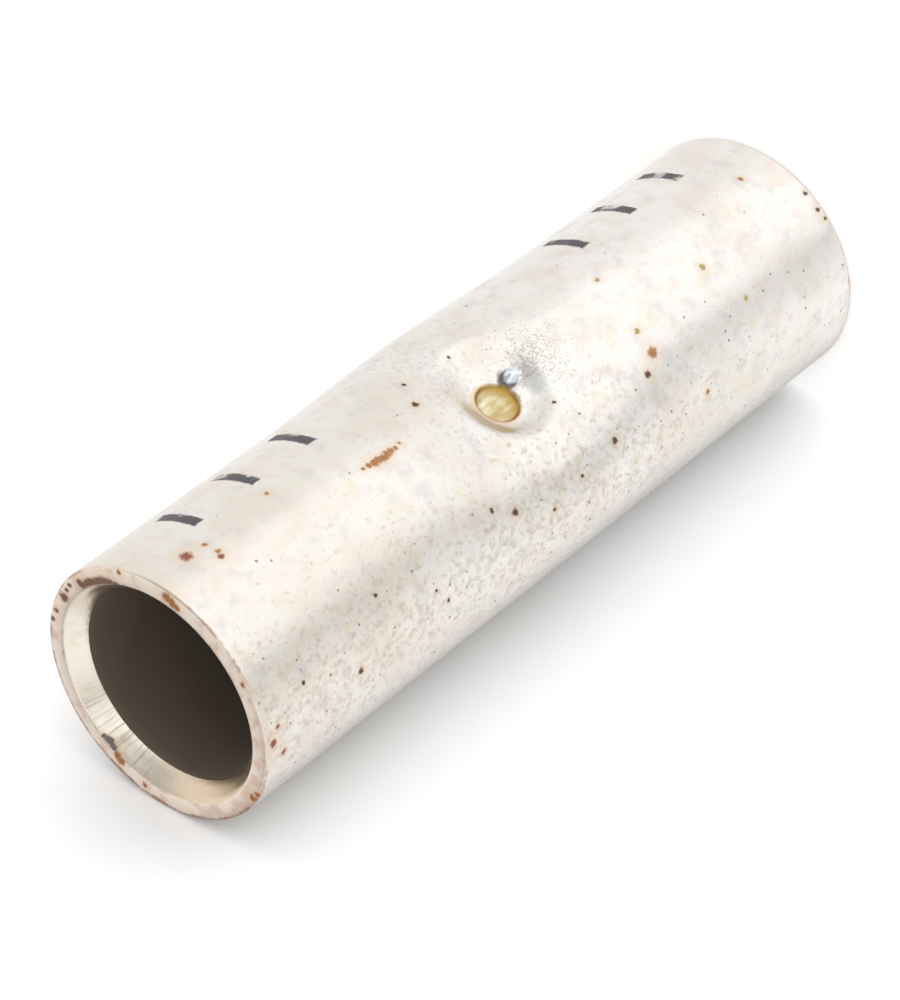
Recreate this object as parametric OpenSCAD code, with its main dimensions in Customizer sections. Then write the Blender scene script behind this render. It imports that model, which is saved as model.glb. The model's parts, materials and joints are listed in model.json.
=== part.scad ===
// Butt splice connector: one length of tin-plated copper tube that joins two stranded
// conductors end to end. Each conductor goes into one end as far as the punched stop in the
// middle, and the barrel is then crimped on both sides of it.
// The barrel stands on its lower end, with its axis on Z and the punch mark facing -Y.
// All sizes are in millimetres and all angles in degrees.

/* [Barrel] */
// Bore that takes the conductor
bore_d = 15.5; // [13:0.1:18]
// Thickness of the tube's wall
wall = 2.5; // [1.8:0.1:3.5]
// Length over both end faces
barrel_len = 70; // [60:0.5:100]

/* [Ends] */
// Radial width of the countersunk lead-in at each mouth
lead_w = 1.1; // [0.5:0.05:1.4]
// Depth of the countersunk lead-in
lead_depth = 1.5; // [0.5:0.1:3]
// Rounding of the outer edge of each end face
edge_r = 0.3; // [0.1:0.05:0.4]

/* [Pressed middle] */
// Length of the stretch that the press has pushed out of round
press_len = 32; // [22:0.5:40]
// How far the wall under the punch has been pushed in
press_depth = 2.1; // [0.4:0.05:2.4]
// How far the walls beside the punch have been pushed out
bulge = 0.4; // [0.1:0.05:0.8]
// Angle from the punch to the crest of the bulge
bulge_angle = 74; // [60:1:80]
// Angle from the punch at which the wall is round again
round_angle = 110; // [100:1:150]

/* [Punched stop] */
// Diameter of the basin that is drawn in round the punch
basin_d = 9.2; // [7:0.2:12]
// How much further the basin runs out on the +X side
basin_lean = 1.3; // [0:0.1:2]
// Depth of the basin below the pressed wall
basin_depth = 1.3; // [0.6:0.1:2]
// Diameter of the punch mark in the basin's floor
punch_d = 3.5; // [2.5:0.1:4.5]
// Depth of the punch mark below the basin's floor
punch_depth = 0.4; // [0.2:0.05:0.8]
// Narrowing of the punch mark from its mouth to its floor, on each side
punch_taper = 0.1; // [0.05:0.05:0.4]
// Width of the broken lip round the punch mark
lip_w = 0.1; // [0.05:0.05:0.15]

/* [Hidden] */
$fn = 96;

bore_r = bore_d / 2;
outer_r = bore_r + wall;
middle_z = barrel_len / 2;
press_half = press_len / 2;
end_len = middle_z - press_half;
basin_r = basin_d / 2;
punch_r = punch_d / 2;

// Steps of the arc that rounds an outer edge
edge_steps = 6;

// The pressed skin is a grid of rings. It is fine where the basin is and coarse elsewhere.
fine_columns = 26;
coarse_columns = 40;
outer_fine_rows = 18;
inner_fine_rows = 10;
outer_coarse_rows = 7;
inner_coarse_rows = 5;
basin_margin = 0.4;
fine_half = basin_r + basin_margin;
fine_angle = asin((fine_half + basin_lean) / (outer_r - press_depth));
coarse_step = (360 - 2 * fine_angle) / coarse_columns;

// The pressed skin runs into the round ends by this much, this far inside their surfaces.
skin_lap = 0.6;
skin_gap = 0.01;
skin_outer_r = outer_r - skin_gap;
skin_inner_r = (bore_r + skin_gap) / cos(coarse_step / 2);

// The punch mark, measured outwards from the barrel's axis
basin_floor = outer_r - press_depth - basin_depth;
punch_floor = basin_floor - punch_depth;

// The cone of the broken lip starts below the basin's floor and runs on past its surface.
lip_foot = basin_floor - lip_w;
lip_run = 2 * lip_w;
lip_slope = 1.7;

// A smooth hump: 1 in the middle and 0 from one unit away
function hump(x) = (1 + cos(180 * min(1, abs(x)))) / 2;

// Outward push on the wall at an angle from the punch, where the press acts in full
function squeeze(angle) =
    abs(angle) < bulge_angle
        ? bulge - (press_depth + bulge) * hump(angle / bulge_angle)
        : bulge * hump((abs(angle) - bulge_angle) / (round_angle - bulge_angle));

// Depth of the basin at a place seen along the punch's axis, with a flat floor as wide as the punch
function basin(x, height) =
    let (
        reach = norm([x, height]),
        edge = basin_r + (x > 0 ? basin_lean * x / reach : 0)
    )
    basin_depth * hump(max(0, reach - punch_r) / (edge - punch_r));

// Radius of the pressed wall whose round radius is r
function pressed(r, angle, height) = r + hump(height / press_half) * squeeze(angle);

// The first of two values and the equal steps up to the second, which is left out
function steps(from, to, count) = [for (i = [0 : count - 1]) from + (to - from) * i / count];

// Angles of the skin's columns, from -180 to 180 and measured from the punch
function columns() = [
    for (angle = concat(
        steps(-fine_angle, fine_angle, fine_columns),
        steps(fine_angle, 360 - fine_angle, coarse_columns)
    )) angle > 180 ? angle - 360 : angle
];

// Heights of the skin's rows, measured from the punch
function rows(fine, coarse) = concat(
    [-press_half - skin_lap],
    steps(-press_half, -fine_half, coarse),
    steps(-fine_half, fine_half, fine),
    steps(fine_half, press_half, coarse),
    [press_half, press_half + skin_lap]
);

// A point on the skin whose round radius is r: pressed towards the axis, then drawn in by the punch
function skin_point(r, angle, height) =
    let (
        wall_r = pressed(r, angle, height),
        x = wall_r * sin(angle),
        drawn = abs(angle) < 90 ? basin(x, height) : 0
    )
    [x, drawn - wall_r * cos(angle), middle_z + height];

function skin_points(r, heights) = [
    for (height = heights, angle = columns()) skin_point(r, angle, height)
];

// Two triangles between two rings, from column i to the next, facing out when a is below b
function band(a, b, i, count) =
    let (j = (i + 1) % count)
    [[a + i, b + j, a + j], [a + i, b + i, b + j]];

// All the triangles of a skin whose first point has the index start
function skin_faces(start, row_count, count) = [
    for (row = [0 : row_count - 2], i = [0 : count - 1])
        each band(start + row * count, start + (row + 1) * count, i, count)
];

// The same triangles turned over
function turned(faces) = [for (face = faces) [face[2], face[1], face[0]]];

// The flat ring that closes an end, from the outer ring to the inner one
function ring_faces(outer, inner, count) = [for (i = [0 : count - 1]) each band(outer, inner, i, count)];

// Section of one end: round edge, flat face, lead-in and bore
module end_section() {
    polygon(concat(
        [[bore_r, end_len], [bore_r, lead_depth], [bore_r + lead_w, 0]],
        [for (i = [0 : edge_steps])
            let (turn = 90 * i / edge_steps)
            [outer_r - edge_r * (1 - sin(turn)), edge_r * (1 - cos(turn))]],
        [[outer_r, end_len]]
    ));
}

module round_end() {
    rotate_extrude() end_section();
}

// The stretch that the press has pushed out of round, with the basin and the stop inside
module pressed_middle() {
    outer_heights = rows(outer_fine_rows, outer_coarse_rows);
    inner_heights = rows(inner_fine_rows, inner_coarse_rows);
    count = len(columns());
    inner_start = len(outer_heights) * count;
    outer_top = inner_start - count;
    inner_top = inner_start + (len(inner_heights) - 1) * count;
    polyhedron(
        points = concat(skin_points(skin_outer_r, outer_heights), skin_points(skin_inner_r, inner_heights)),
        faces = concat(
            skin_faces(0, len(outer_heights), count),
            turned(skin_faces(inner_start, len(inner_heights), count)),
            turned(ring_faces(0, inner_start, count)),
            ring_faces(outer_top, inner_top, count)
        )
    );
}

// The punch's tip, on its own axis and pointing at the barrel's axis
module punch_tip() {
    translate([0, 0, middle_z])
        rotate([90, 0, 0])
            rotate_extrude()
                polygon([
                    [0, punch_floor],
                    [punch_r - punch_taper, punch_floor],
                    [punch_r, lip_foot],
                    [punch_r + lip_run, lip_foot + lip_run * lip_slope],
                    [punch_r + lip_run, outer_r + bulge],
                    [0, outer_r + bulge]
                ]);
}

module barrel() {
    color("#cbc5bb")
        difference() {
            union() {
                round_end();
                translate([0, 0, barrel_len]) mirror([0, 0, 1]) round_end();
                pressed_middle();
            }
            punch_tip();
        }
}

barrel();
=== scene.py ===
"""Butt splice connector: a tin-plated copper barrel with a punched stop, in a plain white studio."""

import json
import math

import bmesh
import bpy
from mathutils import Matrix, Vector


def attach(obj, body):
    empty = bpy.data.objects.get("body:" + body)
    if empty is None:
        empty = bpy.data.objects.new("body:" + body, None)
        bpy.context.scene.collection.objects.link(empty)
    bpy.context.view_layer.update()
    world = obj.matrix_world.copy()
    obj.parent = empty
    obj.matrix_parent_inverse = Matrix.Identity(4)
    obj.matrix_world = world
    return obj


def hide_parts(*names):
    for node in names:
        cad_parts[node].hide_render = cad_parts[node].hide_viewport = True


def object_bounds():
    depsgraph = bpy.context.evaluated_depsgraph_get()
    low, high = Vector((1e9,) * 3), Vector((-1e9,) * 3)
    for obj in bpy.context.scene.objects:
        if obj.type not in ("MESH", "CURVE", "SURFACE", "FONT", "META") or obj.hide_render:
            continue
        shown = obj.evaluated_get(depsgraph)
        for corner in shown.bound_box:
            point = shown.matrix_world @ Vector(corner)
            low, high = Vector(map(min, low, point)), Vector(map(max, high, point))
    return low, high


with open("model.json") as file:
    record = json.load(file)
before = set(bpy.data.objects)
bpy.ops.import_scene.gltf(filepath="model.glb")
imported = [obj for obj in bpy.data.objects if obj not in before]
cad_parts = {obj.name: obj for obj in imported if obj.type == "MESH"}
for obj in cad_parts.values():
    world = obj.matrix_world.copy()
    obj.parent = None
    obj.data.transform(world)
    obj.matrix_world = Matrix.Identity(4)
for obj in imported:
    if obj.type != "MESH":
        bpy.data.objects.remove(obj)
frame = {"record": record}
cad_low, cad_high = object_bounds()

MM = 0.001

# Sizes of the barrel, from the frame
mounts = {mount["name"]: mount for mount in frame["record"]["mounts"]}
BORE_R = mounts["upper_socket"]["dims"]["r_mm"] * MM
ROUND_LEN = mounts["upper_socket"]["dims"]["length_mm"] * MM
OUTER_R = cad_high.y
LENGTH = cad_high.z
MIDDLE = LENGTH / 2

# Ends of the barrel
LEAD_W = 1.1 * MM
LEAD_DEPTH = 1.5 * MM
LEAD_R = BORE_R + LEAD_W
EDGE_R = 0.3 * MM
MOUTH_EDGE_R = 0.18 * MM
BORE_EDGE_R = 0.05 * MM

# The stretch that the press pushed out of round
PRESS_HALF = MIDDLE - LEAD_DEPTH - ROUND_LEN
PRESS_DEPTH = 2.1 * MM
BULGE = 0.38 * MM
BULGE_ANGLE = math.radians(74)
ROUND_ANGLE = math.radians(110)

# The punched stop: a basin with a flat-floored punch mark
BASIN_R = 4.6 * MM
BASIN_LEAN = 1.3 * MM
BASIN_DEPTH = 1.3 * MM
PUNCH_R = 1.75 * MM
PUNCH_DEPTH = 0.4 * MM
PUNCH_FOOT_R = 1.5 * MM
PUNCH_LIP_R = 1.88 * MM

# A bead of metal that the punch raised at the edge of its mark
BURR_X = 0.9 * MM
BURR_Z = -2.4 * MM
BURR_R = 0.75 * MM
BURR_HEIGHT = 0.45 * MM

# The mesh is finest in a square patch round the punch
PATCH_HALF = 7.0 * MM
PATCH_CUTS = 119
TURN_STEPS = 117
SIDE_CUTS = 27
BORE_PATCH_CUTS = 35


def to_linear(colour):
    """An sRGB hex colour as linear RGBA."""
    parts = [int(colour[i:i + 2], 16) / 255 for i in (1, 3, 5)]
    return [c / 12.92 if c <= 0.04045 else ((c + 0.055) / 1.055) ** 2.4 for c in parts] + [1.0]


def add(tree, kind, inputs=None, **settings):
    """Adds a node with its settings, and fills its inputs with values or links them to other nodes."""
    node = tree.nodes.new(kind)
    for name, value in settings.items():
        setattr(node, name, value)
    for name, value in (inputs or {}).items():
        shown = [socket for socket in node.inputs if socket.enabled]
        socket = shown[name] if isinstance(name, int) else next(s for s in shown if s.name == name)
        if isinstance(value, bpy.types.Node):
            value = next(output for output in value.outputs if output.enabled)
        if isinstance(value, bpy.types.NodeSocket):
            tree.links.new(value, socket)
        else:
            socket.default_value = value
    return node


def new_material(name):
    """An empty node material and its tree."""
    material = bpy.data.materials.new(name)
    material.use_nodes = True
    material.node_tree.nodes.clear()
    return material, material.node_tree


def new_object(name, bm, *materials):
    """An object from a bmesh, which is freed."""
    mesh = bpy.data.meshes.new(name)
    bm.to_mesh(mesh)
    bm.free()
    for material in materials:
        mesh.materials.append(material)
    thing = bpy.data.objects.new(name, mesh)
    bpy.context.scene.collection.objects.link(thing)
    return thing


# Form of the barrel


def hump(x):
    """1 in the middle and 0 from one unit away, smooth at both ends."""
    return (1 + math.cos(math.pi * min(1.0, abs(x)))) / 2


def smooth_step(low, high, x):
    """0 below low, 1 above high and smooth between them."""
    t = min(1.0, max(0.0, (x - low) / (high - low)))
    return t * t * (3 - 2 * t)


def squeeze(angle):
    """Outward push of the press at an angle from the punch, where the press acts in full."""
    angle = abs(angle)
    if angle < BULGE_ANGLE:
        return BULGE - (PRESS_DEPTH + BULGE) * hump(angle / BULGE_ANGLE)
    return BULGE * hump((angle - BULGE_ANGLE) / (ROUND_ANGLE - BULGE_ANGLE))


def pressed(radius, angle, height):
    """Radius of the pressed wall whose round radius is given."""
    return radius + hump(height / PRESS_HALF) * squeeze(angle)


def basin(x, height):
    """Depth of the basin at a place seen along the punch's axis. It runs out further on the +X side."""
    reach = math.hypot(x, height)
    if reach <= PUNCH_R:
        return BASIN_DEPTH
    edge = BASIN_R + BASIN_LEAN * max(0.0, x / reach)
    return BASIN_DEPTH * hump((reach - PUNCH_R) / (edge - PUNCH_R))


def punch_mark(reach):
    """Depth of the punch mark below the basin at a distance from the punch's axis."""
    return PUNCH_DEPTH * (1 - smooth_step(PUNCH_FOOT_R, PUNCH_LIP_R, reach))


def punch_rings(count=400):
    """Shares of the way along the punched surface to the patch's edge, with their distances from the axis."""
    reaches = [PATCH_HALF * i / count for i in range(count + 1)]
    depths = [basin(0.0, reach) + punch_mark(reach) for reach in reaches]
    lengths = [0.0]
    for i in range(count):
        lengths.append(lengths[-1] + math.hypot(reaches[i + 1] - reaches[i], depths[i + 1] - depths[i]))
    return [length / lengths[-1] for length in lengths], reaches


def ring_reach(share, rings):
    """Distance from the punch's axis of the ring at a share of the way out to the patch's edge."""
    shares, reaches = rings
    high = next(i for i, value in enumerate(shares) if value >= share - 1e-9)
    if high == 0:
        return 0.0
    along = (share - shares[high - 1]) / (shares[high] - shares[high - 1])
    return reaches[high - 1] + along * (reaches[high] - reaches[high - 1])


def patch_place(angle, height, rings):
    """Where a point of the square patch goes, so that the patch has round rings near the punch."""
    across = OUTER_R * angle
    share = max(abs(across), abs(height)) / PATCH_HALF
    if share == 0:
        return 0.0, 0.0
    reach = ring_reach(share, rings)
    turn = math.atan2(height, across)
    plain_x = pressed(OUTER_R, angle, height) * math.sin(angle)
    blend = smooth_step(0.6, 1.0, share)
    x = reach * math.cos(turn) * (1 - blend) + plain_x * blend
    height = reach * math.sin(turn) * (1 - blend) + height * blend
    for _ in range(6):
        angle = math.asin(x / pressed(OUTER_R, angle, height))
    return angle, height


def press(bm):
    """Moves the points of the round tube to where the press and the punch left them."""
    rings = punch_rings()
    wall_middle_r = (OUTER_R + BORE_R) / 2
    patch_angle = PATCH_HALF / OUTER_R
    for vert in bm.verts:
        radius = math.hypot(vert.co.x, vert.co.y)
        angle = math.atan2(vert.co.x, -vert.co.y)
        height = vert.co.z - MIDDLE
        if abs(height) > PRESS_HALF:
            continue
        outside = radius > wall_middle_r
        if outside and abs(angle) < patch_angle and abs(height) < PATCH_HALF:
            angle, height = patch_place(angle, height, rings)
        radius = pressed(radius, angle, height)
        x, y = radius * math.sin(angle), -radius * math.cos(angle)
        if abs(angle) < math.pi / 2:
            y += basin(x, height)
            if outside:
                y += punch_mark(math.hypot(x, height))
                y -= BURR_HEIGHT * hump(math.hypot(x - BURR_X, height - BURR_Z) / BURR_R)
        vert.co = Vector((x, y, MIDDLE + height))


def break_edge(bm, radius, height, width, segments):
    """Rounds the circle of edges at a radius and a height."""
    near = 0.01 * MM

    def on_circle(vert):
        return abs(math.hypot(vert.co.x, vert.co.y) - radius) < near and abs(vert.co.z - height) < near

    circle = [edge for edge in bm.edges if all(on_circle(vert) for vert in edge.verts)]
    bmesh.ops.bevel(
        bm, geom=circle, offset=width, segments=segments, profile=0.5, affect="EDGES", material=-1)


def barrel_bmesh():
    """The tube: its section is turned about the axis, its edges are broken and its middle is pressed."""
    bm = bmesh.new()
    patch_angle = PATCH_HALF / OUTER_R
    low, high = MIDDLE - PATCH_HALF, MIDDLE + PATCH_HALF
    # Corners of the section as radius and height, with the cuts of the edge that follows
    corners = [
        (LEAD_R, 0.0, 1), (OUTER_R, 0.0, SIDE_CUTS), (OUTER_R, low, PATCH_CUTS), (OUTER_R, high, SIDE_CUTS),
        (OUTER_R, LENGTH, 1), (LEAD_R, LENGTH, 2), (BORE_R, LENGTH - LEAD_DEPTH, SIDE_CUTS),
        (BORE_R, high, BORE_PATCH_CUTS), (BORE_R, low, SIDE_CUTS), (BORE_R, LEAD_DEPTH, 2),
    ]
    start = Matrix.Rotation(-patch_angle, 4, "Z")
    verts = [bm.verts.new(start @ Vector((0, -r, z))) for r, z, _ in corners]
    edges = [bm.edges.new(ends) for ends in zip(verts, verts[1:] + verts[:1])]
    for edge, (_, _, cuts) in zip(edges, corners):
        bmesh.ops.subdivide_edges(bm, edges=[edge], cuts=cuts)
    turn = dict(cent=(0, 0, 0), axis=(0, 0, 1), dvec=(0, 0, 0), use_merge=False, use_duplicate=False)
    section = bm.verts[:] + bm.edges[:]
    fine = bmesh.ops.spin(bm, geom=section, angle=2 * patch_angle, steps=PATCH_CUTS + 1, **turn)
    rest_angle = 2 * math.pi - 2 * patch_angle
    bmesh.ops.spin(bm, geom=fine["geom_last"], angle=rest_angle, steps=TURN_STEPS, **turn)
    bmesh.ops.remove_doubles(bm, verts=bm.verts, dist=0.001 * MM)
    for end, lead_end in ((0.0, LEAD_DEPTH), (LENGTH, LENGTH - LEAD_DEPTH)):
        break_edge(bm, OUTER_R, end, EDGE_R, 4)
        break_edge(bm, LEAD_R, end, MOUTH_EDGE_R, 2)
        break_edge(bm, BORE_R, lead_end, BORE_EDGE_R, 1)
    for face in bm.faces:
        centre = face.calc_center_median()
        face.material_index = 1 if math.hypot(centre.x, centre.y) < BORE_R else 0
    press(bm)
    bmesh.ops.recalc_face_normals(bm, faces=bm.faces)
    for face in bm.faces:
        face.smooth = True
    return bm


# Finishes, with places and sizes in millimetres

# Widths of the patterns. The grain and the dust are coarser than tin's own, so that they show.
CLOUD_W = 6.0
BLUSH_W = 1.5
SCUFF_W = 0.8
GRAIN_W = 0.4
DUST_W = 0.2
PIT_W = 0.6
TURNING_W = 0.25
# Width of the pale streaks of painted reflection on the bare copper
SHEEN_STREAK_W = 0.6
OXIDE_CLOUD_W = 3.0
GRAIN_HEIGHT = 0.015

# Pits and grain are strongest at this arc from the punch, on the side beyond the press, and the grain also at
# this height. Below the lower height the tin is calmer.
ROUGH_ARC = -11.0
ROUGH_HEIGHT = 38.0
CALM_HEIGHT = 28.0

# Oxides that fleck the tin: colour, then each fleck's angle from the punch in degrees, height and size
OXIDES = [
    ("#b3a45a", [(-12, 14, 0.3), (-34, 12, 0.22), (-17, 23, 0.24), (12, 22, 0.2)]),
    ("#b07a40", [
        (19.5, 64.7, 0.2), (13, 64.6, 0.22), (22, 57.7, 0.2), (4.8, 50.9, 0.18), (4.4, 50.3, 0.28),
        (3.8, 49.8, 0.34), (4.2, 49.3, 0.37), (3.6, 48.8, 0.36), (4.2, 48.3, 0.34), (4.4, 47.8, 0.28),
        (4.4, 47.3, 0.2), (5.6, 46.6, 0.16), (-28.5, 23, 0.46), (10, 4.1, 0.22), (-59, 19, 0.25),
    ]),
    ("#935640", [
        (20, 66.5, 0.5), (10.5, 64.8, 0.28), (-73, 68.3, 0.26), (-59, 68.7, 0.2), (-65, 69.3, 0.34),
    ]),
    ("#573226", [
        (19, 42, 0.3), (-50, 30, 0.3), (-35, 24.4, 0.3), (-48, 41.7, 0.32), (-63, 60, 0.28), (-13, 0.6, 0.22),
        (-22, 0.6, 0.22), (-27, 0.4, 0.18), (-54, 51.3, 0.15),
    ]),
    ("#332e2c", [
        (32, 40.7, 0.19), (-41, 43.7, 0.22), (-58, 38, 0.19), (-53.5, 34.3, 0.2), (-20, 32.4, 0.17),
        (-39, 56.8, 0.19), (-50, 65.5, 0.2), (-62, 50.3, 0.18), (32, 35.5, 0.13),
    ]),
]

# Stains on the upper end: colour, then each stain's angle from the punch in degrees, height, radius and size
END_STAINS = [
    ("#75543f", [
        (83, 70, 9.5, 0.44), (78, 70, 9.65, 0.2), (74, 70, 9.75, 0.24), (67, 70, 9.45, 0.3),
        (66, 70, 9.2, 0.34), (63, 70, 9.18, 0.34), (60, 70, 9.2, 0.38), (57, 70, 9.12, 0.38),
        (54, 70, 9.1, 0.4), (51, 70, 9.08, 0.4), (48, 70, 9.02, 0.38), (45, 69.9, 8.92, 0.34),
        (42, 69.9, 8.86, 0.26), (94, 70, 9.7, 0.24), (100, 70, 9.85, 0.24), (-16, 69.9, 8.75, 0.3),
    ]),
    ("#a4662f", [
        (12, 70, 9.7, 0.4), (9, 70, 9.5, 0.44), (6, 70, 9.4, 0.3), (38, 70, 9.9, 0.22),
        (-97, 70, 9.9, 0.34), (-93, 70, 10, 0.24), (173, 70, 9, 0.34), (176, 70, 9.15, 0.36),
        (-169, 70, 9.4, 0.24), (-36, 70, 9.8, 0.24),
    ]),
    ("#6f696a", [
        (162, 69.9, 8.78, 0.2), (164, 69.85, 8.74, 0.24), (166, 69.8, 8.7, 0.28), (168, 69.85, 8.74, 0.26),
        (170, 69.9, 8.78, 0.2),
    ]),
]

# Turning marks and tarnish on the upper lead-in: angle from the punch in degrees, height and radius
TURNING_PLACE = (166, 69.2, 8.3)
TARNISH_PLACE = (-130, 69.2, 8.3)

# Crimp marks: plain bars of ink across the skin, in threes towards each end
MARK_ANGLE = math.radians(42.5)
MARK_HALF_LENGTH = 2.1
MARK_HALF_WIDTH = 0.5
MARK_PITCH = 6.0
MARK_NEAREST = 13.0
MARK_FURTHEST = 31.0

# How readily neighbouring spots run together
SPOT_BLEND = 1.0

# Further than anything on the barrel
FAR = 1000.0


def on_skin(degrees, height):
    """A place on the outside of the barrel, in millimetres."""
    angle = math.radians(degrees)
    rise = height * MM - MIDDLE
    radius = pressed(OUTER_R, angle, rise)
    x = radius * math.sin(angle)
    drawn = basin(x, rise) if abs(angle) < math.pi / 2 else 0.0
    return Vector((x, drawn - radius * math.cos(angle), height * MM)) / MM


def on_end(degrees, height, radius):
    """A place on an end of the barrel, in millimetres."""
    angle = math.radians(degrees)
    return Vector((radius * math.sin(angle), -radius * math.cos(angle), height))


def nearest_spot(tree, where, spots):
    """Distance to the nearest of some spots, each measured in its own size. Close ones run together."""
    nearest = FAR
    for spot, size in spots:
        away = add(tree, "ShaderNodeVectorMath", {0: where, 1: spot}, operation="DISTANCE")
        share = add(tree, "ShaderNodeMath", {0: away, 1: size}, operation="DIVIDE")
        nearest = add(tree, "ShaderNodeMath", {0: nearest, 1: share, 2: SPOT_BLEND}, operation="SMOOTH_MIN")
    return nearest


def inside_mark(tree, arc, along):
    """How far a place is outside the nearest crimp mark, below 0 where it is inside one."""
    slot = add(tree, "ShaderNodeMath", {
        0: along, 1: MARK_NEAREST + MARK_PITCH, 2: MARK_NEAREST}, operation="WRAP")
    sides = [
        (slot, MARK_NEAREST + MARK_PITCH / 2, MARK_HALF_WIDTH),
        (along, (MARK_NEAREST + MARK_FURTHEST) / 2, (MARK_FURTHEST - MARK_NEAREST) / 2),
        (arc, MARK_ANGLE * OUTER_R / MM, MARK_HALF_LENGTH),
    ]
    outside = -FAR
    for value, middle, half in sides:
        offset = add(tree, "ShaderNodeMath", {0: value, 1: middle}, operation="SUBTRACT")
        distance = add(tree, "ShaderNodeMath", {0: offset}, operation="ABSOLUTE")
        beyond = add(tree, "ShaderNodeMath", {0: distance, 1: half}, operation="SUBTRACT")
        outside = add(tree, "ShaderNodeMath", {0: outside, 1: beyond}, operation="MAXIMUM")
    return outside


def tinned_copper():
    """Tin plated on copper in a barrel, and dull: a soft shine broken up by a fine grain, warm clouds
    where the tin is thin, flecks of oxide, copper at the worn edges with a line of painted shade along the
    outer edge, and bare copper under the punch. Round the punch it carries patches of painted shade, a
    painted highlight, painted reflection streaks on the copper, and a painted glint on the bead with a
    painted shadow under it."""
    material, tree = new_material("tinned_copper")
    coords = add(tree, "ShaderNodeTexCoord")
    place = add(tree, "ShaderNodeVectorMath", {
        0: coords.outputs["Object"], "Scale": 1 / MM}, operation="SCALE")

    # Clouds, blushes in three tints, scuffs, grain, dust, and a jitter that makes outlines ragged
    clouds = add(tree, "ShaderNodeTexNoise", {"Vector": place, "Scale": 1 / CLOUD_W, "Detail": 4.0})
    clouds = clouds.outputs["Fac"]
    tints = add(tree, "ShaderNodeTexNoise", {"Vector": place, "Scale": 1 / BLUSH_W, "Detail": 3.0})
    tints = add(tree, "ShaderNodeSeparateColor", {0: tints.outputs["Color"]})
    blushes = tints.outputs["Red"]
    scuffs = add(tree, "ShaderNodeTexNoise", {"Vector": place, "Scale": 1 / SCUFF_W, "Detail": 3.0})
    scuffs = scuffs.outputs["Fac"]
    grain = add(tree, "ShaderNodeTexNoise", {"Vector": place, "Scale": 1 / GRAIN_W, "Detail": 1.5})
    grain = grain.outputs["Fac"]
    dust = add(tree, "ShaderNodeTexNoise", {"Vector": place, "Scale": 1 / DUST_W, "Detail": 1.0})
    dust = dust.outputs["Fac"]
    ragged = add(tree, "ShaderNodeTexNoise", {"Vector": place, "Scale": 1 / GRAIN_W, "Detail": 1.0})
    jitter = add(tree, "ShaderNodeVectorMath", {
        0: ragged.outputs["Color"], 1: (0.5, 0.5, 0.5)}, operation="SUBTRACT")

    # The barrel unrolled into arc from the punch, height and radius
    parts = add(tree, "ShaderNodeSeparateXYZ", {0: place})
    ahead = add(tree, "ShaderNodeMath", {0: parts.outputs["Y"], 1: -1.0}, operation="MULTIPLY")
    angle = add(tree, "ShaderNodeMath", {0: parts.outputs["X"], 1: ahead}, operation="ARCTAN2")
    arc = add(tree, "ShaderNodeMath", {0: angle, 1: OUTER_R / MM}, operation="MULTIPLY")
    flat = add(tree, "ShaderNodeVectorMath", {0: place, 1: (1, 1, 0)}, operation="MULTIPLY")
    radius = add(tree, "ShaderNodeVectorMath", {0: flat}, operation="LENGTH")
    from_middle = add(tree, "ShaderNodeMath", {0: parts.outputs["Z"], 1: MIDDLE / MM}, operation="SUBTRACT")
    along = add(tree, "ShaderNodeMath", {0: from_middle}, operation="ABSOLUTE")
    inset = add(tree, "ShaderNodeMath", {0: MIDDLE / MM, 1: along}, operation="SUBTRACT")
    unrolled = add(tree, "ShaderNodeCombineXYZ", {"X": arc, "Y": parts.outputs["Z"], "Z": radius})

    # Pits in the tin, one to a cell at most, and most of them on the side beyond the press
    cells = add(tree, "ShaderNodeTexVoronoi", {"Vector": place, "Scale": 1 / PIT_W})
    chances = add(tree, "ShaderNodeSeparateColor", {0: cells.outputs["Color"]})
    off_side = add(tree, "ShaderNodeMath", {0: arc, 1: ROUGH_ARC}, operation="SUBTRACT")
    side = add(tree, "ShaderNodeMath", {0: off_side}, operation="ABSOLUTE")
    spare = add(tree, "ShaderNodeMapRange", {
        "Value": side, "From Min": 2.0, "From Max": 8.0, "To Min": 0.4, "To Max": 0.93})
    pit_r = add(tree, "ShaderNodeMapRange", {
        "Value": chances.outputs["Red"], "From Min": spare, "From Max": 1.0, "To Min": 0.0, "To Max": 0.22})
    pits = add(tree, "ShaderNodeMath", {0: cells.outputs["Distance"], 1: pit_r}, operation="SUBTRACT")
    scuffs = add(tree, "ShaderNodeMath", {0: side, 1: 0.02, 2: scuffs}, operation="MULTIPLY_ADD")

    # The grain is strongest on that side and round the punch, and calm towards the lower end
    off_punch = add(tree, "ShaderNodeMath", {0: parts.outputs["Z"], 1: ROUGH_HEIGHT}, operation="SUBTRACT")
    beyond = add(tree, "ShaderNodeMath", {0: off_punch}, operation="ABSOLUTE")
    calm = add(tree, "ShaderNodeMath", {0: beyond, 1: side}, operation="MINIMUM")
    lower = add(tree, "ShaderNodeMath", {0: CALM_HEIGHT, 1: parts.outputs["Z"]}, operation="SUBTRACT")
    lower = add(tree, "ShaderNodeMath", {0: lower, 1: 0.0}, operation="MAXIMUM")
    calm = add(tree, "ShaderNodeMath", {0: lower, 1: 0.8, 2: calm}, operation="MULTIPLY_ADD")
    grain_shade = add(tree, "ShaderNodeMath", {0: calm, 1: 0.012, 2: grain}, operation="MULTIPLY_ADD")
    scuffs = add(tree, "ShaderNodeMath", {0: lower, 1: 0.006, 2: scuffs}, operation="MULTIPLY_ADD")
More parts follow.
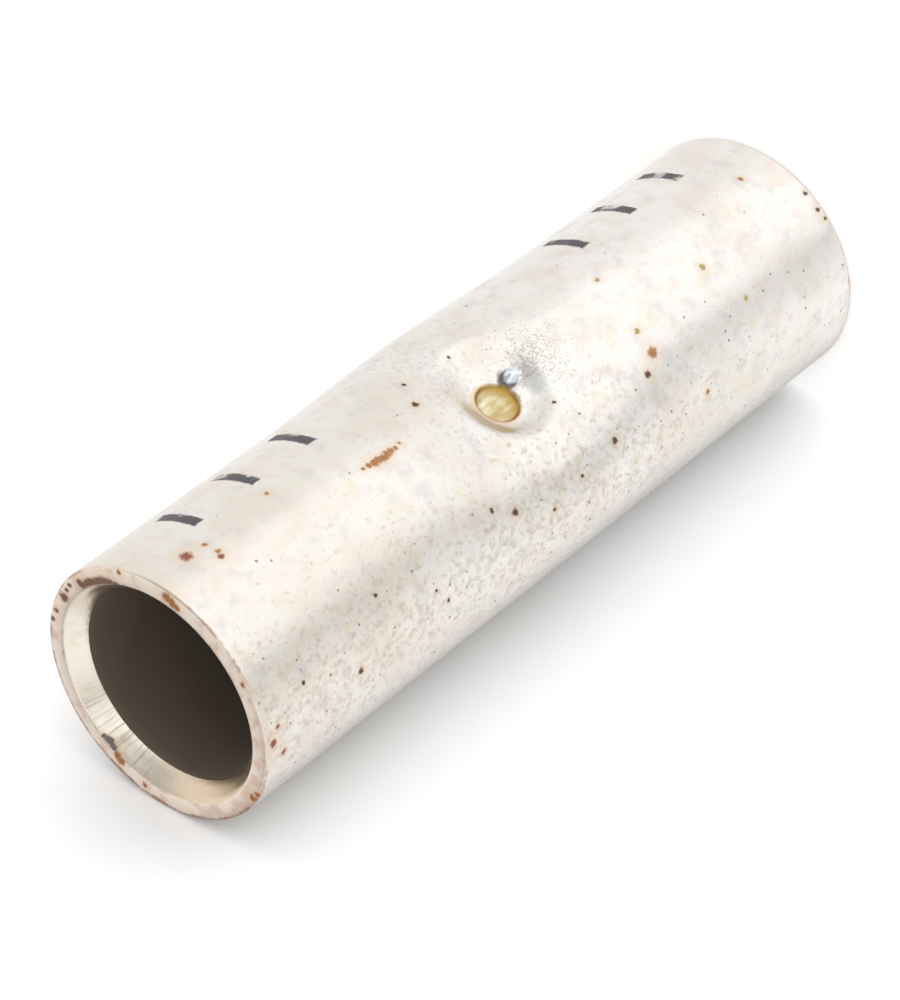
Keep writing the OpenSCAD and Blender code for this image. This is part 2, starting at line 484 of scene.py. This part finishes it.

    # Worn ends, and a line of painted shade along the outer edge that is darker towards the back
    end = add(tree, "ShaderNodeCombineXYZ", {"X": inset, "Y": radius})
    end = add(tree, "ShaderNodeVectorMath", {
        0: jitter, 1: (0.3, 0.3, 0.3), 2: end}, operation="MULTIPLY_ADD")
    outer_edge = add(tree, "ShaderNodeVectorMath", {
        0: end, 1: (0.3 * EDGE_R / MM, (OUTER_R - 0.3 * EDGE_R) / MM, 0)}, operation="DISTANCE")
    mouth_edge = add(tree, "ShaderNodeVectorMath", {0: end, 1: (0, LEAD_R / MM, 0)}, operation="DISTANCE")
    wear = add(tree, "ShaderNodeMath", {0: clouds, 1: blushes}, operation="ADD")
    worn_and_shaded_edge = add(tree, "ShaderNodeMath", {0: wear, 1: 0.6, 2: outer_edge}, operation="MULTIPLY_ADD")
    # painted shade: the edge line grows darker towards the back of the barrel
    worn_and_shaded_edge = add(tree, "ShaderNodeMath", {0: ahead, 1: 0.02, 2: worn_and_shaded_edge}, operation="MULTIPLY_ADD")
    worn_face = add(tree, "ShaderNodeMath", {
        0: inset, 1: -3.0, 2: tints.outputs["Blue"]}, operation="MULTIPLY_ADD")
    worn_mouth = add(tree, "ShaderNodeMath", {0: wear, 1: 0.6, 2: mouth_edge}, operation="MULTIPLY_ADD")
    past_mouth = add(tree, "ShaderNodeMath", {0: radius, 1: LEAD_R / MM}, operation="SUBTRACT")
    past_lead = add(tree, "ShaderNodeMath", {0: inset, 1: 2 * LEAD_DEPTH / MM}, operation="SUBTRACT")
    lead = add(tree, "ShaderNodeMath", {0: past_mouth, 1: past_lead}, operation="MAXIMUM")
    in_lead = add(tree, "ShaderNodeMath", {0: lead, 1: -10.0}, operation="MULTIPLY")
    lines = add(tree, "ShaderNodeVectorMath", {0: unrolled, 1: (1, 0, 0.1)}, operation="MULTIPLY")
    lines = add(tree, "ShaderNodeTexNoise", {"Vector": lines, "Scale": 1 / TURNING_W, "Detail": 2.0})
    lines = lines.outputs["Fac"]
    turned = add(tree, "ShaderNodeVectorMath", {0: place, 1: on_end(*TURNING_PLACE)}, operation="DISTANCE")
    lines = add(tree, "ShaderNodeMath", {0: turned, 1: -0.04, 2: lines}, operation="MULTIPLY_ADD")
    lines = add(tree, "ShaderNodeMath", {0: lines, 1: in_lead}, operation="MINIMUM")
    lead_blushes = add(tree, "ShaderNodeMath", {0: blushes, 1: in_lead}, operation="MINIMUM")
    tarnished = add(tree, "ShaderNodeVectorMath", {
        0: place, 1: on_end(*TARNISH_PLACE)}, operation="DISTANCE")
    out_of_lead = add(tree, "ShaderNodeMath", {0: lead, 1: 50.0, 2: 5.0}, operation="MULTIPLY_ADD")
    tarnish = add(tree, "ShaderNodeMath", {0: tarnished, 1: out_of_lead}, operation="MAXIMUM")

    # Flecks, stains and ink
    fleck_place = add(tree, "ShaderNodeVectorMath", {
        0: jitter, 1: (0.22, 0.22, 0.22), 2: place}, operation="MULTIPLY_ADD")
    marked = []
    for stain_colour, spots in END_STAINS:
        marked.append((stain_colour, [(on_end(a, z, r), size) for a, z, r, size in spots]))
    for stain_colour, spots in OXIDES:
        marked.append((stain_colour, [(on_skin(a, z), size) for a, z, size in spots]))
    mark = inside_mark(tree, arc, along)
    mark = add(tree, "ShaderNodeMath", {0: jitter, 1: 0.3, 2: mark}, operation="MULTIPLY_ADD")
    ink_wear = add(tree, "ShaderNodeMath", {0: blushes, 1: 0.62}, operation="SUBTRACT")
    mark = add(tree, "ShaderNodeMath", {0: mark, 1: ink_wear}, operation="MAXIMUM")

    # Distances from places round the punch mark, each given across and up from the mark's middle
    front = add(tree, "ShaderNodeVectorMath", {
        0: jitter, 1: (0.2, 0, 0.2), 2: place}, operation="MULTIPLY_ADD")
    front = add(tree, "ShaderNodeVectorMath", {0: front, 1: (1, 0.2, 1)}, operation="MULTIPLY")
    depth = -0.2 * (OUTER_R - PRESS_DEPTH - BASIN_DEPTH) / MM
    burr_x, burr_z = BURR_X / MM, BURR_Z / MM
    # Places round the punch: the copper floor and the centre of its painted shade, the worn lip, the painted
    # shadow under the bead and the painted glint on it, a patch of painted shade on the basin's lower slope,
    # a patch of painted shade speckled with dust on its upper wall, and a painted highlight beside the mark
    round_punch = {
        "floor": (0, 0), "copper_edge_shade": (0, 0.3), "lip": (0, 0.35), "bead_shadow": (burr_x, burr_z + 0.35),
        "bead_glint": (burr_x, burr_z), "dull": (-0.6, 2.9), "speckled_shade": (0.6, -4.2), "bright": (-1.2, -2.9),
    }
    reach = {}
    for name, (x, z) in round_punch.items():
        centre = (x, depth, MIDDLE / MM + z)
        reach[name] = add(tree, "ShaderNodeVectorMath", {0: front, 1: centre}, operation="DISTANCE")
    # painted shade: dust grain kept to a patch on the basin's upper wall, where it shows as grey speckles
    dust_and_shade_speckles = add(tree, "ShaderNodeMath", {0: reach["speckled_shade"], 1: 0.06, 2: dust}, operation="MULTIPLY_ADD")

    # Bare copper under the punch, with pale streaks of painted reflection and painted shade darkening it
    # towards the edge of its mark
    copper_sheen_streaks = add(tree, "ShaderNodeVectorMath", {0: place, 1: (1.0, 1.0, 0.35)}, operation="MULTIPLY")
    copper_sheen_streaks = add(tree, "ShaderNodeTexNoise", {"Vector": copper_sheen_streaks, "Scale": 1 / SHEEN_STREAK_W, "Detail": 3.0})
    copper_sheen_share = add(tree, "ShaderNodeMapRange", {
        "Value": copper_sheen_streaks.outputs["Fac"], "From Min": 0.4, "From Max": 0.7})
    copper = add(tree, "ShaderNodeMix", {
        "Factor": copper_sheen_share, "A": to_linear("#c8b27c"), "B": to_linear("#f1ecd4")}, data_type="RGBA")
    # painted shade: the copper darkens away from a point just off the middle of the mark
    copper_edge_shade_share = add(tree, "ShaderNodeMapRange", {"Value": reach["copper_edge_shade"], "From Min": 0.9, "From Max": 1.8})
    copper = add(tree, "ShaderNodeMix", {
        "Factor": copper_edge_shade_share, "A": copper, "B": to_linear("#b8964f")}, data_type="RGBA")

    # From the plating up: a value, where it leaves the layer off and where it puts the layer on,
    # then the layer's strength, colour, roughness and metallic
    layers = [
        (clouds, 0.42, 0.66, 0.6, to_linear("#e5dcd0"), 0.28, 1.0),
        (parts.outputs["Z"], 24, 66, 0.3, to_linear("#e4d8c8"), 0.26, 1.0),
        (blushes, 0.52, 0.72, 0.5, to_linear("#ecd8d0"), 0.3, 1.0),
        (tints.outputs["Green"], 0.52, 0.72, 0.45, to_linear("#e4dec4"), 0.3, 1.0),
        (tints.outputs["Blue"], 0.52, 0.72, 0.45, to_linear("#d5cfd3"), 0.3, 1.0),
        (scuffs, 0.6, 0.36, 0.28, to_linear("#b8a894"), 0.35, 1.0),
        (grain_shade, 0.5, 0.3, 0.26, to_linear("#a2978a"), 0.4, 1.0),
        (pits, 0.05, -0.1, 0.7, to_linear("#665a50"), 0.6, 0.5),
        (inset, 0.3, 0.05, 0.6, to_linear("#efddcd"), 0.32, 1.0),
        (worn_face, 0.45, 0.65, 0.55, to_linear("#d2ae95"), 0.4, 1.0),
        (worn_mouth, 0.8, 0.6, 0.6, to_linear("#b9a08c"), 0.4, 1.0),
        (lead, 0.05, -0.05, 0.85, to_linear("#f2eadd"), 0.25, 1.0),
        (lead_blushes, 0.45, 0.75, 0.5, to_linear("#e4d3b8"), 0.3, 1.0),
        (tarnish, 8.0, 1.0, 0.75, to_linear("#e3cba9"), 0.3, 1.0),
        (lines, 0.4, 0.62, 0.55, to_linear("#9c8f80"), 0.35, 1.0),
        (worn_and_shaded_edge, 0.85, 0.68, 0.7, to_linear("#b98f74"), 0.5, 0.7),
        # painted shade: a dark line along the rounding of the outer edge
        (worn_and_shaded_edge, 0.68, 0.54, 0.8, to_linear("#6a4a39"), 0.6, 0.3),
    ]
    halo = FAR
    stains = []
    for stain_colour, spots in marked:
        nearest = nearest_spot(tree, fleck_place, spots)
        grainy = add(tree, "ShaderNodeMath", {0: dust, 1: 0.9, 2: nearest}, operation="MULTIPLY_ADD")
        halo = add(tree, "ShaderNodeMath", {0: halo, 1: grainy}, operation="MINIMUM")
        stains.append((grainy, 1.75, 0.95, 0.95, to_linear(stain_colour), 0.7, 0.0))
    layers += [(halo, 3.9, 1.45, 0.35, to_linear("#e6c6a4"), 0.35, 1.0)] + stains
    layers += [
        (mark, 0.1, -0.1, 0.92, to_linear("#2d2833"), 0.45, 0.0),
        # painted shade: a grey, duller patch on the basin's lower slope
        (reach["dull"], 2.2, 0.8, 0.4, to_linear("#d8d1cc"), 0.5, 1.0),
        # painted shade: grey dust speckles on the basin's upper wall
        (dust_and_shade_speckles, 0.62, 0.42, 0.42, to_linear("#8f9090"), 0.35, 1.0),
        # painted highlight: a near-white patch on the basin wall beside the mark
        (reach["bright"], 1.3, 0.6, 0.8, to_linear("#fbfaf8"), 0.2, 1.0),
        (reach["lip"], 2.15, 1.9, 0.7, to_linear("#edd0a8"), 0.35, 1.0),
        # painted shadow between the bead and the edge of the mark
        (reach["bead_shadow"], 0.9, 0.6, 0.85, to_linear("#3d3936"), 0.45, 1.0),
        # painted glint: a bluish white spot on the bead
        (reach["bead_glint"], 0.66, 0.42, 1.0, to_linear("#eaf1fa"), 0.2, 1.0),
        (reach["floor"], PUNCH_LIP_R / MM, PUNCH_R / MM - 0.15, 1.0, copper, 0.35, 1.0),
    ]
    colour, roughness, metallic = to_linear("#efece7"), 0.25, 1.0
    for value, off, on, strength, layer_colour, layer_roughness, layer_metallic in layers:
        mask = add(
            tree, "ShaderNodeMapRange", {"Value": value, "From Min": off, "From Max": on, "To Max": strength},
            interpolation_type="SMOOTHSTEP")
        colour = add(tree, "ShaderNodeMix", {
            "Factor": mask, "A": colour, "B": layer_colour}, data_type="RGBA")
        roughness = add(tree, "ShaderNodeMix", {"Factor": mask, "A": roughness, "B": layer_roughness})
        metallic = add(tree, "ShaderNodeMix", {"Factor": mask, "A": metallic, "B": layer_metallic})
    bump = add(tree, "ShaderNodeBump", {"Height": grain, "Strength": 1.0, "Distance": GRAIN_HEIGHT * MM})
    shader = add(tree, "ShaderNodeBsdfPrincipled", {
        "Base Color": colour, "Metallic": metallic, "Roughness": roughness, "Normal": bump,
        "Specular IOR Level": 0.25})
    add(tree, "ShaderNodeOutputMaterial", {"Surface": shader})
    return material


def oxidised_copper():
    """Copper that has gone dull and brown inside the bore: dark, with no shine to speak of."""
    material, tree = new_material("oxidised_copper")
    coords = add(tree, "ShaderNodeTexCoord")
    clouds = add(tree, "ShaderNodeTexNoise", {
        "Vector": coords.outputs["Object"], "Scale": 1 / (OXIDE_CLOUD_W * MM), "Detail": 3.0})
    clouds = clouds.outputs["Fac"]
    brown = add(tree, "ShaderNodeMix", {
        "Factor": clouds, "A": to_linear("#6d6054"), "B": to_linear("#796c5f")}, data_type="RGBA")
    shader = add(tree, "ShaderNodeBsdfPrincipled", {"Base Color": brown, "Roughness": 0.65})
    add(tree, "ShaderNodeOutputMaterial", {"Surface": shader})
    return material


barrel = new_object("barrel_tube", barrel_bmesh(), tinned_copper(), oxidised_copper())
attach(barrel, "root")
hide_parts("barrel")


# Camera, set where the photograph was taken from

CAMERA_AIM = Vector((-0.8, 2.3, 37.5)) * MM
CAMERA_DISTANCE = 297.1 * MM
CAMERA_AZIMUTH = math.radians(-18.1)
CAMERA_ELEVATION = math.radians(37.92)
CAMERA_ROLL = math.radians(-127.06)
CAMERA_LENS = 142.95

camera = bpy.data.objects.new("camera", bpy.data.cameras.new("camera"))
bpy.context.scene.collection.objects.link(camera)
camera.data.lens = CAMERA_LENS
camera.data.sensor_width = 36
camera.data.clip_start = 0.01
camera_turn = (
    Matrix.Rotation(CAMERA_AZIMUTH, 4, "Z")
    @ Matrix.Rotation(math.pi / 2 - CAMERA_ELEVATION, 4, "X")
    @ Matrix.Rotation(CAMERA_ROLL, 4, "Z")
)
camera_back = Matrix.Translation((0, 0, CAMERA_DISTANCE))
camera.matrix_world = Matrix.Translation(CAMERA_AIM) @ camera_turn @ camera_back
bpy.context.scene.camera = camera


# Stage


def stage_white(name, seen):
    """White paper that shows the barrel's shadow. The camera sees it bright, as paper exposed to white.
    Metal seen by the camera mirrors the studio through it, and the back of it is open."""
    material, tree = new_material(name)
    path = add(tree, "ShaderNodeLightPath")
    paper = add(tree, "ShaderNodeBsdfDiffuse", {"Color": (PAPER_WHITE, PAPER_WHITE, PAPER_WHITE, 1)})
    bright = add(tree, "ShaderNodeBsdfDiffuse", {"Color": (seen, seen, seen, 1)})
    surface = add(tree, "ShaderNodeMixShader", {0: path.outputs["Is Camera Ray"], 1: paper, 2: bright})
    first = add(tree, "ShaderNodeMath", {0: path.outputs["Diffuse Depth"], 1: 0.5}, operation="LESS_THAN")
    mirrored = add(tree, "ShaderNodeMath", {0: path.outputs["Is Glossy Ray"], 1: first}, operation="MULTIPLY")
    side = add(tree, "ShaderNodeNewGeometry")
    open_part = add(tree, "ShaderNodeMath", {
        0: mirrored, 1: side.outputs["Backfacing"]}, operation="MAXIMUM")
    clear = add(tree, "ShaderNodeBsdfTransparent")
    surface = add(tree, "ShaderNodeMixShader", {0: open_part, 1: surface, 2: clear})
    add(tree, "ShaderNodeOutputMaterial", {"Surface": surface})
    return material


def board(name, place, material):
    """A square sheet of stage paper."""
    bm = bmesh.new()
    bmesh.ops.create_grid(bm, x_segments=1, y_segments=1, size=BOARD_HALF)
    bmesh.ops.transform(bm, matrix=place, verts=bm.verts)
    thing = new_object(name, bm, material)
    thing.visible_diffuse = False
    return thing


BOARD_HALF = 0.6
PAPER_WHITE = 0.45
FLOOR_SEEN = 1.5
BACKDROP_SEEN = 1.24
floor = board("floor", Matrix.Identity(4), stage_white("floor_paper", FLOOR_SEEN))
floor.visible_shadow = False
BACKDROP_AZIMUTH = math.radians(21)
backdrop_place = (
    Matrix.Rotation(BACKDROP_AZIMUTH, 4, "Z")
    @ Matrix.Translation((0, OUTER_R, BOARD_HALF))
    @ Matrix.Rotation(math.pi / 2, 4, "X")
)
board("backdrop", backdrop_place, stage_white("backdrop_paper", BACKDROP_SEEN))

# Brightness of the studio round the barrel: compass angle from the punch in degrees, and level
STUDIO_LEVELS = [
    (-180, 0.55), (-164, 0.78), (-148, 0.96), (-132, 1.07), (-100, 1.11), (-84, 1.04), (-68, 0.92),
    (-54, 0.79), (-46, 0.87), (-36, 1.13), (-20, 1.2), (10, 1.22), (34, 1.2), (44, 1.03), (58, 0.99),
    (120, 0.99), (150, 1.05), (168, 0.8), (180, 0.55),
]
# The dark of the room above the front of the barrel, as the metal mirrors it
ROOM_AZIMUTH = math.radians(40)
ROOM_ELEVATION = math.radians(50)
ROOM_DARK = 0.5
ROOM_EDGE = math.cos(math.radians(42))
ROOM_CORE = math.cos(math.radians(12))

# The white table in front of the barrel's end, as the metal mirrors it
TABLE_EDGE = -0.75
TABLE_FULL = -0.95

world = bpy.data.worlds.new("studio")
bpy.context.scene.world = world
world.use_nodes = True
tree = world.node_tree
tree.nodes.clear()
direction = add(tree, "ShaderNodeTexCoord").outputs["Generated"]
parts = add(tree, "ShaderNodeSeparateXYZ", {0: direction})
ahead = add(tree, "ShaderNodeMath", {0: parts.outputs["Y"], 1: -1.0}, operation="MULTIPLY")
compass = add(tree, "ShaderNodeMath", {0: parts.outputs["X"], 1: ahead}, operation="ARCTAN2")
turn_share = add(tree, "ShaderNodeMapRange", {"Value": compass, "From Min": -math.pi, "From Max": math.pi})
levels = add(tree, "ShaderNodeValToRGB", {"Fac": turn_share})
levels.color_ramp.interpolation = "EASE"
stops = levels.color_ramp.elements
while len(stops) < len(STUDIO_LEVELS):
    stops.new(0.5)
for stop, (degrees, level) in zip(stops, STUDIO_LEVELS):
    stop.position = (degrees + 180) / 360
    stop.color = (level, level, level, 1)
room = Matrix.Rotation(ROOM_AZIMUTH, 3, "Z") @ Matrix.Rotation(-ROOM_ELEVATION, 3, "X") @ Vector((0, -1, 0))
facing = add(tree, "ShaderNodeVectorMath", {0: direction, 1: room}, operation="DOT_PRODUCT")
shade = add(tree, "ShaderNodeMapRange", {
    "Value": facing, "From Min": ROOM_EDGE, "From Max": ROOM_CORE, "To Min": 1.0, "To Max": 1 - ROOM_DARK},
    interpolation_type="SMOOTHSTEP")
below = add(tree, "ShaderNodeMapRange", {
    "Value": parts.outputs["Z"], "From Min": TABLE_EDGE, "From Max": TABLE_FULL},
    interpolation_type="SMOOTHSTEP")
levels = add(tree, "ShaderNodeMix", {"Factor": below, "A": levels, "B": (1, 1, 1, 1)}, data_type="RGBA")
tent = add(tree, "ShaderNodeBackground", {"Color": levels, "Strength": shade})
white = add(tree, "ShaderNodeBackground", {"Color": (1, 1, 1, 1), "Strength": 1.0})
path = add(tree, "ShaderNodeLightPath")
both = add(tree, "ShaderNodeMixShader", {0: path.outputs["Is Camera Ray"], 1: tent, 2: white})
add(tree, "ShaderNodeOutputWorld", {"Surface": both})

bpy.context.scene.view_settings.view_transform = "Standard"
